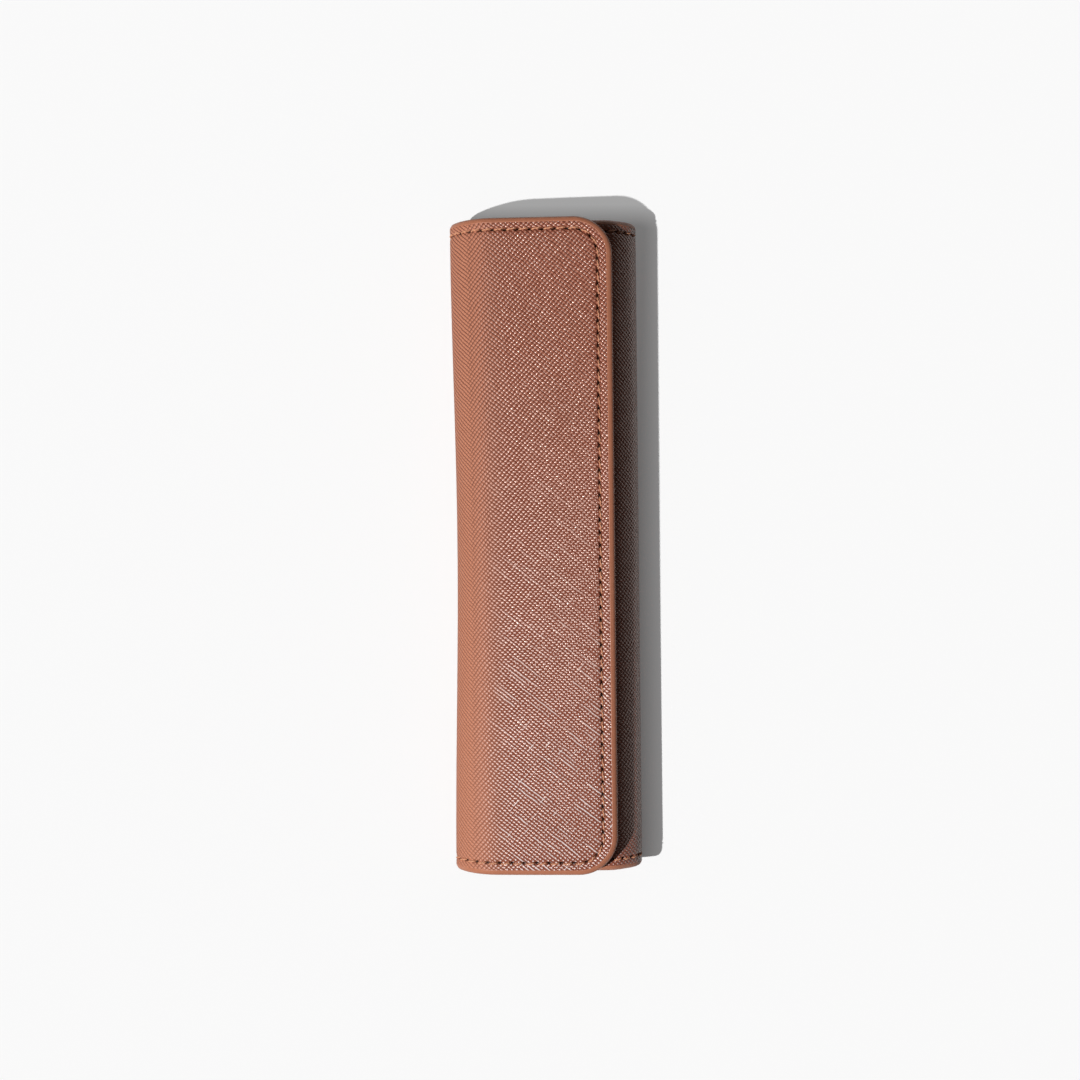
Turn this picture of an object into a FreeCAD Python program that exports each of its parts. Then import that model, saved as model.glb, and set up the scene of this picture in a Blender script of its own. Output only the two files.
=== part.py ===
import FreeCAD, Part
import math
import os
import Sketcher

# A sleeve for one pen, lying closed on its back.
# One lined leather sheet makes it. The front wall turns round the closed side into the back,
# and the back rolls up the spine into the flap, which closes over the front wall.
# X runs from the spine to the closed side, Y along the pen and Z up from the table.
# The origin is the middle of the rest face. Lengths are in mm and angles in degrees.

Vector = FreeCAD.Vector
Constraint = Sketcher.Constraint

SIZES = {
    # Outside of the closed sleeve
    "sleeve_length": "165",
    "sleeve_width": "47.5",
    "wall_height": "14.2",
    "side_upper_radius": "8",
    "flap_setback": "6.75",
    "flap_overlap": "21",
    "corner_radius": "9.8",
    # Spine, three bends from the back up to the flap
    "spine_lower_radius": "11",
    "spine_middle_radius": "5",
    "spine_upper_radius": "12",
    "spine_lower_turn": "60",
    "spine_middle_turn": "60",
    "spine_upper_turn": "58",
    "fold_gap": "0.4",
    # Layers of the sheet
    "cover_thickness": "0.9",
    "lining_thickness": "1.3",
    # Stiffener boards, in recesses of the lining
    "board_thickness": "0.5",
    "board_margin": "5.5",
    "bend_margin": "1",
    "recess_gap": "0.1",
    # Disc magnets, in holes of the boards
    "magnet_diameter": "8",
    "magnet_thickness": "1",
    "magnet_spacing": "90",
    # Elastic pen loop on the back lining
    "loop_bore": "8",
    "loop_width": "20",
    "elastic_thickness": "0.8",
    "tab_width": "15",
    "tack_margin": "2",
    # Sewing
    "seam_margin": "3.1",
    "stitch_pitch": "3.1",
    "stitch_length": "2.3",
    "thread_width": "0.5",
    "thread_rise": "0.15",
    "rest_height": "0.6",
}

# Sizes that follow from the others, as expressions on the sheet
SIDE_LOWER_RADIUS = "(Sizes.wall_height - Sizes.side_upper_radius)"
SHEET_THICKNESS = "(Sizes.cover_thickness + Sizes.lining_thickness)"
LOWER_END = "Sizes.spine_lower_turn"
MIDDLE_END = "(Sizes.spine_lower_turn + Sizes.spine_middle_turn)"
UPPER_END = "(Sizes.spine_lower_turn + Sizes.spine_middle_turn + Sizes.spine_upper_turn)"
SPINE_FOOT = (
    f"(Sizes.spine_lower_radius * sin({LOWER_END})"
    f" + Sizes.spine_middle_radius * (1 - sin({LOWER_END})))"
)
SPINE_HEAD = (
    f"(Sizes.spine_middle_radius * (1 - sin({MIDDLE_END}))"
    f" + Sizes.spine_upper_radius * (sin({MIDDLE_END}) - sin({UPPER_END})))"
)
FRONT_REACH = "(Sizes.flap_setback + Sizes.flap_overlap - Sizes.side_upper_radius)"
BACK_REACH = f"(Sizes.sleeve_width - {SIDE_LOWER_RADIUS} - {SPINE_FOOT})"
FLAP_REACH = f"((Sizes.sleeve_width - Sizes.flap_setback - {SPINE_HEAD}) / cos(180 - {UPPER_END}))"
BACK_SIDE = f"({FRONT_REACH} + Sizes.side_upper_radius - {SIDE_LOWER_RADIUS})"
BOARD_LENGTH = "(Sizes.sleeve_length - 2 * Sizes.board_margin)"
MAGNET_HOLE_RADIUS = "(Sizes.magnet_diameter / 2 + Sizes.recess_gap)"

QUARTER_TURN = 90
HALF_TURN = 180
TOLERANCE = 1e-4

document = FreeCAD.newDocument("pen_sleeve")
sheet = document.addObject("Spreadsheet::Sheet", "Sizes")
for row, (alias, number) in enumerate(SIZES.items(), start=1):
    sheet.set(f"A{row}", number)
    sheet.setAlias(f"A{row}", alias)
document.recompute()

pieces = []


def value_of(expression):
    """Number that an expression on the sheet gives."""
    return float(sheet.evalExpression(expression))


def size(alias):
    """Number in one cell of the sheet."""
    return float(sheet.get(alias))


def straight(length):
    """Flat stretch of the sheet."""
    return {"length": length}


def bend(radius, turn):
    """Stretch of the sheet that turns towards its lining, with the radius of its outer face."""
    return {"radius": radius, "turn": turn}


def half_bend(part):
    """Half of one of the spine's bends, which stops at the gap of the fold in its middle."""
    radius = f"Sizes.spine_{part}_radius"
    gap_turn = f"Sizes.fold_gap / {radius} * {QUARTER_TURN} / pi"
    return bend(radius, f"(Sizes.spine_{part}_turn / 2 - {gap_turn})")


# The outer face of each rigid section of the sheet, as seen along the pen.
# The sleeve and the flap start at their free edges, the spine's sections at their lower folds.
SLEEVE_PATH = [
    straight(FRONT_REACH),
    bend("Sizes.side_upper_radius", f"{QUARTER_TURN}"),
    bend(SIDE_LOWER_RADIUS, f"{QUARTER_TURN}"),
    straight(BACK_REACH),
    half_bend("lower"),
]
LOWER_SPINE_PATH = [half_bend("lower"), half_bend("middle")]
UPPER_SPINE_PATH = [half_bend("middle"), half_bend("upper")]
FLAP_PATH = [straight(FLAP_REACH), half_bend("upper")]


def measured(path):
    """Copy of a path with numbers in place of expressions."""
    return [{name: value_of(text) for name, text in step.items()} for step in path]


def step_length(step):
    if "length" in step:
        return step["length"]
    return step["radius"] * math.radians(step["turn"])


def walk(steps, distance, start=(0, 0), heading=0):
    """Point and heading after going some distance along a measured path that turns clockwise."""
    u, v = start
    for step in steps:
        part = min(distance, step_length(step))
        angle = math.radians(heading)
        if "length" in step:
            u += part * math.cos(angle)
            v += part * math.sin(angle)
        else:
            end = angle - part / step["radius"]
            u += step["radius"] * (math.sin(angle) - math.sin(end))
            v += step["radius"] * (math.cos(end) - math.cos(angle))
            heading = math.degrees(end)
        distance -= part
    return u, v, heading


def radius_at(steps, distance):
    """Radius of the outer face at some distance along a measured path."""
    for step in steps:
        distance -= step_length(step)
        if distance < 0:
            return step.get("radius", math.inf)
    return math.inf


def bound(sketch, constraint, expression):
    """Adds a dimension to a sketch and ties it to the sheet."""
    index = sketch.addConstraint(constraint)
    sketch.setExpression(f"Constraints[{index}]", expression)


def new_sketch(body, name, role, level=None):
    """Sketch on one of the body's own planes, raised to a level along the plane's normal."""
    sketch = body.newObject("Sketcher::SketchObject", f"{body.Label}_{name}")
    plane = next(item for item in body.Origin.OriginFeatures if item.Role == role)
    sketch.AttachmentSupport = [(plane, "")]
    sketch.MapMode = "FlatFace"
    if level is not None:
        sketch.setExpression("AttachmentOffset.Base.z", level)
    return sketch


def draw_path(sketch, path):
    """Chain of lines and arcs from the sketch's origin, tangent to one another."""
    steps = measured(path)
    last = None
    done = 0
    for step, numbers in zip(path, steps):
        u, v, heading = walk(steps, done)
        done += step_length(numbers)
        end_u, end_v, end_heading = walk(steps, done)
        if "length" in step:
            edge = sketch.addGeometry(Part.LineSegment(Vector(u, v), Vector(end_u, end_v)))
            first_end, last_end = (edge, 1), (edge, 2)
            bound(sketch, Constraint("Distance", edge, numbers["length"]), step["length"])
        else:
            radius = numbers["radius"]
            angle = math.radians(heading + QUARTER_TURN)
            end_angle = math.radians(end_heading + QUARTER_TURN)
            centre = Vector(u - radius * math.cos(angle), v - radius * math.sin(angle))
            circle = Part.Circle(centre, Vector(0, 0, 1), radius)
            edge = sketch.addGeometry(Part.ArcOfCircle(circle, end_angle, angle))
            first_end, last_end = (edge, 2), (edge, 1)
            bound(sketch, Constraint("Radius", edge, radius), step["radius"])
            bound(sketch, Constraint("Angle", edge, math.radians(numbers["turn"])), step["turn"])
        if last is None:
            sketch.addConstraint(Constraint("Coincident", *first_end, -1, 1))
            if "length" in step:
                sketch.addConstraint(Constraint("Horizontal", edge))
            else:
                sketch.addConstraint(Constraint("PointOnObject", edge, 3, -2))
        else:
            sketch.addConstraint(Constraint("Tangent", *last, *first_end))
        last = last_end


def draw_rectangle(sketch, left, right, low, high):
    """Four joined lines, level and upright. Edge 0 is the lowest and edge 3 the leftmost."""
    corners = [Vector(left, low), Vector(right, low), Vector(right, high), Vector(left, high)]
    for index in range(4):
        sketch.addGeometry(Part.LineSegment(corners[index], corners[(index + 1) % 4]))
    for index in range(4):
        sketch.addConstraint(Constraint("Coincident", index, 2, (index + 1) % 4, 1))
    for index, direction in enumerate(["Horizontal", "Vertical", "Horizontal", "Vertical"]):
        sketch.addConstraint(Constraint(direction, index))


def draw_section(sketch, depth, thickness):
    """Cut end of one layer, as long as the sleeve, at some depth under the outer face."""
    half = size("sleeve_length") / 2
    top = value_of(depth)
    draw_rectangle(sketch, -half, half, -top - value_of(thickness), -top)
    bound(sketch, Constraint("DistanceX", -1, 1, 2, 1, half), "Sizes.sleeve_length / 2")
    bound(sketch, Constraint("Distance", 0, 2 * half), "Sizes.sleeve_length")
    bound(sketch, Constraint("Distance", 3, value_of(thickness)), thickness)
    if top > 0:
        bound(sketch, Constraint("DistanceY", 2, 1, -1, 1, top), depth)
    else:
        sketch.addConstraint(Constraint("PointOnObject", 2, 1, -1))


def draw_plate(sketch, left, right, length):
    """Rectangle for a board, centred along the pen."""
    near, far, half = value_of(left), value_of(right), value_of(length) / 2
    draw_rectangle(sketch, near, far, -half, half)
    bound(sketch, Constraint("DistanceY", -1, 1, 2, 1, half), f"{length} / 2")
    bound(sketch, Constraint("DistanceX", -1, 1, 0, 1, near), left)
    bound(sketch, Constraint("DistanceX", -1, 1, 0, 2, far), right)
    bound(sketch, Constraint("Distance", 3, 2 * half), length)


def draw_magnet_holes(sketch):
    """Two circles, halfway between the free edges of the flap and the front wall."""
    radius = value_of(MAGNET_HOLE_RADIUS)
    across = size("flap_overlap") / 2
    along = size("magnet_spacing") / 2
    for side in (-1, 1):
        circle = Part.Circle(Vector(across, side * along), Vector(0, 0, 1), radius)
        hole = sketch.addGeometry(circle)
        bound(sketch, Constraint("Radius", hole, radius), MAGNET_HOLE_RADIUS)
        bound(sketch, Constraint("DistanceX", -1, 1, hole, 3, across), "Sizes.flap_overlap / 2")
        ends = (-1, 1, hole, 3) if side > 0 else (hole, 3, -1, 1)
        bound(sketch, Constraint("DistanceY", *ends, along), "Sizes.magnet_spacing / 2")


def layer(label, path, depth, thickness, placement):
    """One layer of one section: its cut end, drawn along the section's path."""
    body = document.addObject("PartDesign::Body", label)
    route = new_sketch(body, "path", "XZ_Plane")
    draw_path(route, path)
    cut_end = new_sketch(body, "section", "YZ_Plane")
    draw_section(cut_end, depth, thickness)
    document.recompute()
    pipe = body.newObject("PartDesign::AdditivePipe", f"{label}_sheet")
    pipe.Profile = cut_end
    pipe.Spine = route
    body.Placement = placement
    document.recompute()
    pieces.append(body)
    return body


def round_free_corners(body):
    """Rounds the two corners of the flap's free edge, which lies at the body's origin."""
    square = body.Tip
    names = []
    for number, edge in enumerate(square.Shape.Edges, start=1):
        box = edge.BoundBox
        if max(abs(box.XMin), abs(box.XMax), box.YLength) < TOLERANCE:
            names.append(f"Edge{number}")
    fillet = body.newObject("PartDesign::Fillet", f"{body.Label}_corners")
    fillet.Base = (square, names)
    fillet.setExpression("Radius", "Sizes.corner_radius")
    document.recompute()


def recess(body, name, sketch, depth, upwards):
    """Pocket in a lining, cut from the face that lies against the cover."""
    uncut = body.Tip.Shape.Volume
    pocket = body.newObject("PartDesign::Pocket", f"{body.Label}_{name}")
    pocket.Profile = sketch
    pocket.Reversed = upwards
    pocket.setExpression("Length", depth)
    document.recompute()
    if pocket.Shape.Volume > uncut - TOLERANCE:
        raise RuntimeError(f"{pocket.Label} cuts nothing")


def board(label, left, right, level, placement, holed):
    """Stiffener board in a flat stretch, with holes where magnets sit in it."""
    body = document.addObject("PartDesign::Body", label)
    outline = new_sketch(body, "outline", "XY_Plane", level)
    draw_plate(outline, left, right, BOARD_LENGTH)
    if holed:
        draw_magnet_holes(outline)
    document.recompute()
    pad = body.newObject("PartDesign::Pad", f"{label}_plate")
    pad.Profile = outline
    pad.setExpression("Length", "Sizes.board_thickness")
    body.Placement = placement
    document.recompute()
    pieces.append(body)


def board_recess(lining, name, left, right, level, upwards):
    """Recess for a board, larger than it by the recess gap on every side."""
    outline = new_sketch(lining, f"{name}_outline", "XY_Plane", level)
    wider = "Sizes.recess_gap"
    draw_plate(outline, f"({left} - {wider})", f"({right} + {wider})", f"({BOARD_LENGTH} + 2 * {wider})")
    document.recompute()
    recess(lining, name, outline, "Sizes.board_thickness", upwards)


def magnet_recess(lining, level):
    """Two round recesses for the magnets, deeper than the board's."""
    outline = new_sketch(lining, "magnet_outline", "XY_Plane", level)
    draw_magnet_holes(outline)
    document.recompute()
    recess(lining, "magnet_recess", outline, "Sizes.magnet_thickness", False)


def magnet(label, placement, side):
    """Disc magnet against the cover, towards one end of the pen."""
    disc = document.addObject("Part::Cylinder", label)
    disc.setExpression("Radius", "Sizes.magnet_diameter / 2")
    disc.setExpression("Height", "Sizes.magnet_thickness")
    depth = size("cover_thickness") + size("magnet_thickness")
    centre = Vector(size("flap_overlap") / 2, side * size("magnet_spacing") / 2, -depth)
    disc.Placement = placement.multiply(FreeCAD.Placement(centre, FreeCAD.Rotation()))
    pieces.append(disc)


def placed(x, z, along, outward):
    """Placement of a section from its start, its heading there and the way its outer face looks."""
    turned = FreeCAD.Rotation(along, outward.cross(along), outward, "XZY")
    return FreeCAD.Placement(Vector(x, 0, z), turned)


def spine_point(heading):
    """Point of the spine's outer face where it has turned by some angle from the back."""
    x = value_of(f"{SPINE_FOOT} - Sizes.sleeve_width / 2")
    z = 0
    turned = 0
    for part in ("lower", "middle", "upper"):
        radius = size(f"spine_{part}_radius")
        end = min(turned + size(f"spine_{part}_turn"), heading)
        x += radius * (math.sin(math.radians(turned)) - math.sin(math.radians(end)))
        z += radius * (math.cos(math.radians(turned)) - math.cos(math.radians(end)))
        turned = end
    return x, z


def spine_placement(part, start):
    """Placement of the spine's section that starts at the fold in the middle of one bend."""
    gap_turn = math.degrees(size("fold_gap") / 2 / size(f"spine_{part}_radius"))
    heading = start + size(f"spine_{part}_turn") / 2 + gap_turn
    angle = math.radians(heading)
    along = Vector(-math.cos(angle), 0, math.sin(angle))
    outward = Vector(-math.sin(angle), 0, -math.cos(angle))
    return placed(*spine_point(heading), along, outward)


def flap_placement():
    """Placement of the flap, whose path runs from its free edge back towards the spine."""
    slope = math.radians(HALF_TURN - value_of(UPPER_END))
    x, z = spine_point(value_of(UPPER_END))
    reach = value_of(FLAP_REACH)
    along = Vector(-math.cos(slope), 0, -math.sin(slope))
    outward = Vector(-math.sin(slope), 0, math.cos(slope))
    return placed(x - reach * along.x, z - reach * along.z, along, outward)


def stitch(above, below, radius=math.inf):
    """Lockstitch: a bar of thread on each face and the thread through the holes at both ends.

    On a bend with some radius of its outer face, the thread runs in towards the bend's centre.
    """
    half, width = size("stitch_length") / 2, size("thread_width")

    def outline(top, bottom, inset):
        corners = []
        for side, level in ((-1, top), (1, top), (1, bottom), (-1, bottom)):
            reach = half * (1 + level / radius) - inset
            corners.append(Vector(side * reach, -width / 2, level))
        return Part.Wire(Part.makePolygon(corners + corners[:1]))

    loop = Part.Face(outline(above, -below, 0))
    hole = Part.Face(outline(above - width, width - below, width))
    return loop.cut(hole).extrude(Vector(0, width, 0))


def stitch_centres(start, end):
    """Even positions of stitches along a seam, close to the wanted pitch."""
    count = max(1, round((end - start) / size("stitch_pitch")))
    return [start + (index + 0.5) * (end - start) / count for index in range(count)]


def set_stitch(shape, point, along, outward):
    """Copy of a stitch on the outer face at a point."""
    copy = shape.copy()
    turned = FreeCAD.Rotation(along, outward.cross(along), outward, "XZY")
    copy.Placement = FreeCAD.Placement(point, turned)
    return copy


def end_rows(path, start, end):
    """Stitches along both end edges of a section, between two distances on its path."""
    steps = measured(path)
    side = size("sleeve_length") / 2 - size("seam_margin")
    rise, sheet_depth = size("thread_rise"), value_of(SHEET_THICKNESS)
    rest_level = size("rest_height") - size("wall_height")
    stitches = []
    for distance in stitch_centres(start, end):
        x, z, heading = walk(steps, distance)
        angle = math.radians(heading)
        along = Vector(math.cos(angle), 0, math.sin(angle))
        outward = Vector(-math.sin(angle), 0, math.cos(angle))
        # The thread is pressed into the leather where the sleeve rests on it
        above = -rise if z < rest_level else rise
        shape = stitch(above, sheet_depth + rise, radius_at(steps, distance))
        for y in (-side, side):
            stitches.append(set_stitch(shape, Vector(x, y, z), along, outward))
    return stitches


def edge_row(steps, start, heading):
    """Stitches along a seam in a flat stretch, whose path lies in the outer face."""
    rise = size("thread_rise")
    shape = stitch(rise, value_of(SHEET_THICKNESS) + rise)
    total = sum(step_length(step) for step in steps)
    stitches = []
    for distance in stitch_centres(0, total):
        x, y, direction = walk(steps, distance, start, heading)
        angle = math.radians(direction)
        along = Vector(math.cos(angle), math.sin(angle), 0)
        stitches.append(set_stitch(shape, Vector(x, y, 0), along, Vector(0, 0, 1)))
    return stitches


def seam(label, stitches, placement):
    """All stitches of one seam."""
    thread = document.addObject("Part::Feature", label)
    thread.Shape = Part.makeCompound(stitches)
    thread.Placement = placement
    pieces.append(thread)


def path_length(path):
    return sum(step_length(step) for step in measured(path))


# Where each section starts
front_edge_x = size("sleeve_width") / 2 - size("flap_setback") - size("flap_overlap")
sleeve_place = placed(front_edge_x, size("wall_height"), Vector(1, 0, 0), Vector(0, 0, 1))
lower_spine_place = spine_placement("lower", 0)
upper_spine_place = spine_placement("middle", size("spine_lower_turn"))
flap_place = flap_placement()

# Cover and lining of the four sections
SECTIONS = [
    ("sleeve", SLEEVE_PATH, sleeve_place),
    ("lower_spine", LOWER_SPINE_PATH, lower_spine_place),
    ("upper_spine", UPPER_SPINE_PATH, upper_spine_place),
    ("flap", FLAP_PATH, flap_place),
]
linings = {}
for name, path, place in SECTIONS:
    cover = layer(f"{name}_cover", path, "0", "Sizes.cover_thickness", place)
    lining = layer(f"{name}_lining", path, "Sizes.cover_thickness", "Sizes.lining_thickness", place)
    linings[name] = lining
    if name == "flap":
        round_free_corners(cover)
        round_free_corners(lining)

# Boards and magnets of the front wall and the flap, which face each other
under_cover = "-Sizes.cover_thickness"
under_board = "-(Sizes.cover_thickness + Sizes.board_thickness)"
for name, lining_name, reach, place in (
    ("front", "sleeve", FRONT_REACH, sleeve_place),
    ("flap", "flap", FLAP_REACH, flap_place),
):
    near_side = "Sizes.board_margin"
    far_side = f"({reach} - Sizes.bend_margin)"
    board(f"{name}_board", near_side, far_side, under_board, place, True)
    board_recess(linings[lining_name], f"{name}_recess", near_side, far_side, under_cover, False)
    magnet_recess(linings[lining_name], under_cover)
    top_side = 1 if name == "front" else -1
    magnet(f"{name}_magnet_top", place, top_side)
    magnet(f"{name}_magnet_bottom", place, -top_side)

# Board of the back, between its two bends
over_back_cover = "(Sizes.cover_thickness - Sizes.wall_height)"
back_left = f"({BACK_SIDE} - {BACK_REACH} + Sizes.bend_margin)"
back_right = f"({BACK_SIDE} - Sizes.bend_margin)"
board("back_board", back_left, back_right, over_back_cover, sleeve_place, False)
board_recess(linings["sleeve"], "back_recess", back_left, back_right, over_back_cover, True)

# Elastic loop for the pen, with a flat tab sewn to the back lining
loop_centre = f"({SHEET_THICKNESS} + Sizes.elastic_thickness + Sizes.loop_bore / 2)"
along_pen = FreeCAD.Rotation(Vector(1, 0, 0), -QUARTER_TURN)
ring = document.addObject("Part::Cylinder", "loop_ring")
ring.setExpression("Radius", "Sizes.loop_bore / 2 + Sizes.elastic_thickness")
bore = document.addObject("Part::Cylinder", "loop_hole")
bore.setExpression("Radius", "Sizes.loop_bore / 2")
for cylinder in (ring, bore):
    cylinder.setExpression("Height", "Sizes.loop_width")
    cylinder.Placement = FreeCAD.Placement(Vector(0, 0, 0), along_pen)
    cylinder.setExpression("Placement.Base.y", "-Sizes.loop_width / 2")
    cylinder.setExpression("Placement.Base.z", loop_centre)
tab = document.addObject("Part::Box", "loop_tab")
tab.setExpression("Length", "Sizes.tab_width")
tab.setExpression("Width", "Sizes.loop_width")
tab.setExpression("Height", "Sizes.elastic_thickness")
tab.setExpression("Placement.Base.x", "-Sizes.tab_width / 2")
tab.setExpression("Placement.Base.y", "-Sizes.loop_width / 2")
tab.setExpression("Placement.Base.z", SHEET_THICKNESS)
band = document.addObject("Part::Fuse", "loop_band")
band.Base = ring
band.Tool = tab
pen_loop = document.addObject("Part::Cut", "pen_loop")
pen_loop.Base = band
pen_loop.Tool = bore
pieces.append(pen_loop)

# Stitches through the tab and the lining, one row on each side of the loop
tab_top = value_of(SHEET_THICKNESS) + size("elastic_thickness")
tack_depth = tab_top - size("cover_thickness") - size("board_thickness")
tack = stitch(size("thread_rise"), tack_depth)
tack_x = size("tab_width") / 2 - size("tack_margin")
tack_end = size("loop_width") / 2 - size("tack_margin")
tacks = []
for y in stitch_centres(-tack_end, tack_end):
    for x in (-tack_x, tack_x):
        tacks.append(set_stitch(tack, Vector(x, y, tab_top), Vector(0, 1, 0), Vector(0, 0, 1)))
seam("pen_loop_stitches", tacks, FreeCAD.Placement())

# Seams of the sleeve and the spine
margin = size("seam_margin")
half_stitch = size("stitch_length") / 2
side_edge = size("sleeve_length") / 2 - margin
sleeve_rows = end_rows(SLEEVE_PATH, margin + half_stitch, path_length(SLEEVE_PATH))
seam("sleeve_end_seams", sleeve_rows, sleeve_place)
front_row = edge_row([{"length": 2 * side_edge}], (margin, -side_edge), QUARTER_TURN)
seam("front_edge_seam", front_row, sleeve_place)
lower_rows = end_rows(LOWER_SPINE_PATH, 0, path_length(LOWER_SPINE_PATH))
seam("lower_spine_seams", lower_rows, lower_spine_place)
upper_rows = end_rows(UPPER_SPINE_PATH, 0, path_length(UPPER_SPINE_PATH))
seam("upper_spine_seams", upper_rows, upper_spine_place)

# Seam of the flap: along one end, round the free edge and back along the other end
corner = size("corner_radius")
flap_reach = value_of(FLAP_REACH)
corner_step = {"radius": corner - margin, "turn": QUARTER_TURN}
end_step = {"length": flap_reach - corner}
free_step = {"length": size("sleeve_length") - 2 * corner}
flap_outline = [end_step, corner_step, free_step, corner_step, end_step]
flap_row = edge_row(flap_outline, (flap_reach, -side_edge), HALF_TURN)
flap_bend = end_rows(FLAP_PATH, flap_reach, path_length(FLAP_PATH))
seam("flap_seam", flap_row + flap_bend, flap_place)

document.recompute()
for item in document.Objects:
    if "Invalid" in item.State or "Error" in item.State:
        raise RuntimeError(f"{item.Label} failed: {item.State}")
for piece in pieces:
    if piece.Shape.isNull() or not piece.Shape.isValid():
        raise RuntimeError(f"{piece.Label} has no valid shape")

os.makedirs("parts", exist_ok=True)
for piece in pieces:
    piece.Shape.exportStep(f"parts/{piece.Label}.step")
    box = piece.Shape.BoundBox
    print(
        f"{piece.Label}: {len(piece.Shape.Solids)} solids, {piece.Shape.Volume:.1f} mm3,"
        f" x {box.XMin:.2f} to {box.XMax:.2f}, z {box.ZMin:.2f} to {box.ZMax:.2f}"
    )
for fold, heading in (
    ("lower", size("spine_lower_turn") / 2),
    ("middle", value_of(LOWER_END) + size("spine_middle_turn") / 2),
    ("upper", value_of(MIDDLE_END) + size("spine_upper_turn") / 2),
):
    x, z = spine_point(heading)
    print(f"{fold} fold at x {x:.4f}, z {z:.4f}")
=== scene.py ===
import math

import bmesh
import bpy
import numpy as np
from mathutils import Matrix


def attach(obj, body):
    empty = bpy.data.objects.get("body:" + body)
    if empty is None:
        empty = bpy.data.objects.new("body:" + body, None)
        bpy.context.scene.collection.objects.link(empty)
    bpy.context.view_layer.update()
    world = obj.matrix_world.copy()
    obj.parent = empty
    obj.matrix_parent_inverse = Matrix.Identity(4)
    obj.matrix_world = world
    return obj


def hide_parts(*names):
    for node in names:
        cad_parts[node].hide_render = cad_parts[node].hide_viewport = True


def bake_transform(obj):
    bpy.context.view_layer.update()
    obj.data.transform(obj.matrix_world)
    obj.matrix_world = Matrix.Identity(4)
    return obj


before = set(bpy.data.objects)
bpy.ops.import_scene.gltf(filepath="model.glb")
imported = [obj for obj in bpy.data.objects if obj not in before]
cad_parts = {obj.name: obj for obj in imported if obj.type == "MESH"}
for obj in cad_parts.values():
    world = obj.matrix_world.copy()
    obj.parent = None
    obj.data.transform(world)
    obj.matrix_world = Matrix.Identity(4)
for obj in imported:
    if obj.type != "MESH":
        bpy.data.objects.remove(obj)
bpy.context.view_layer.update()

# A sleeve for one pen: a lined leather sheet that runs from the front wall round the closed side,
# along the back and up the spine to the flap. Lengths are in mm until a mesh is made.
# A place on the sheet is its distance s along the outer face from the front wall's free edge,
# its distance y along the pen, and its depth under the outer face.
MM = 0.001

# Sizes of the solids
SLEEVE_LENGTH = 165.0
SLEEVE_WIDTH = 47.5
WALL_HEIGHT = 14.2
SIDE_UPPER_RADIUS = 8.0
SIDE_LOWER_RADIUS = WALL_HEIGHT - SIDE_UPPER_RADIUS
FLAP_SETBACK = 6.75
FLAP_OVERLAP = 21.0
FLAP_CORNER = 9.8
FRONT_CORNER = 3.0
SPINE_RADII = (11.0, 5.0, 12.0)
SPINE_TURNS = (60.0, 60.0, 58.0)
COVER_THICKNESS = 0.9
SHEET_THICKNESS = 2.2
SEAM_MARGIN = 3.1
STITCH_PITCH = 3.1
TAB_WIDTH = 15.0
LOOP_BORE = 8.0
LOOP_WIDTH = 20.0
ELASTIC_THICKNESS = 0.8
TACK_MARGIN = 2.0

# How the soft sheet departs from the solids
SPINE_BOW = 1.1
CROWN_RISE = 0.6
CROWN_START = 0.4
CROWN_POWER = 1.5
SPINE_BULGE = 0.3
FLAP_LIFT = 0.5
LIFT_TWIST = 0.6
LIFT_POWER = 5
SIDE_SINK = 0.72
SINK_START = 2.0
MOUTH_DROOP = 1.1
MOUTH_REACH = 4.5
FRONT_SEAM_SHIFT = 0.5
FOLD_MARGIN = math.radians(9)

# Painted edge of the sheet
EDGE_RADIUS = SHEET_THICKNESS / 2
EDGE_REACH = 1.45
FILM_THICKNESS = 0.22
LIP_INSETS = (1.5, 1.42, 1.3)
LIP_DEPTHS = (0.03, -0.015, -0.03)

# Seams: a groove along the thread, needle holes and stitches of twisted plies
FACE_INSETS = (1.7, 2.0, 2.3, 2.6, 2.8, 2.95, 3.1, 3.25, 3.4, 3.6, 3.9, 4.4, 5.0)
VALLEY_DEPTH = 0.2
VALLEY_WIDTH = 0.6
PIT_DEPTH = 0.6
PIT_LENGTH = 0.72
PIT_WIDTH = 0.27
PIT_SHIFT = 0.1
PIT_POWER = 4
PLY_COUNT = 2
PLY_RADIUS = 0.12
PLY_OFFSET = 0.1
THREAD_TURNS = 1.2
THREAD_DEPTH = 0.05
THREAD_REST = 0.16
HOLE_DEPTH = 0.75
HOLE_CLEAR = 0.4
DIP_POWER = 5
STITCH_SLANT = 0.4
STITCH_SHIFT = 0.05

# Where the leather is stretched, counted inward from the two ends of the spine
STRETCH_START = -5.0
STRETCH_END = 8.0

# Ribs and curl of the elastic
RIB_PITCH = 0.9
RIB_DEPTH = 0.1
NECK_RADIUS = 0.8

# Fineness of the meshes. Leather, lining and paint have some steps for each stitch,
# and a stride is the number of such steps between rows of a hidden face.
LEATHER_STEPS = 12
LINING_STEPS = 6
PAINT_STEPS = 4
LEATHER_BACK_STRIDE = 40
LINING_BACK_STRIDE = 30
COVER_EDGE_POINTS = 8
LINING_EDGE_POINTS = 10
PAINT_EDGE_POINTS = 17
CORNER_STEPS = 28
LEAST_CORNER = 0.5
CUT_STEP = 0.02
PLY_SIDES = 6
THREAD_POINTS = 13
LOOP_STEPS = 121
RIB_STEPS = 6
SMOOTH_LIMIT = math.radians(50)

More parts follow.
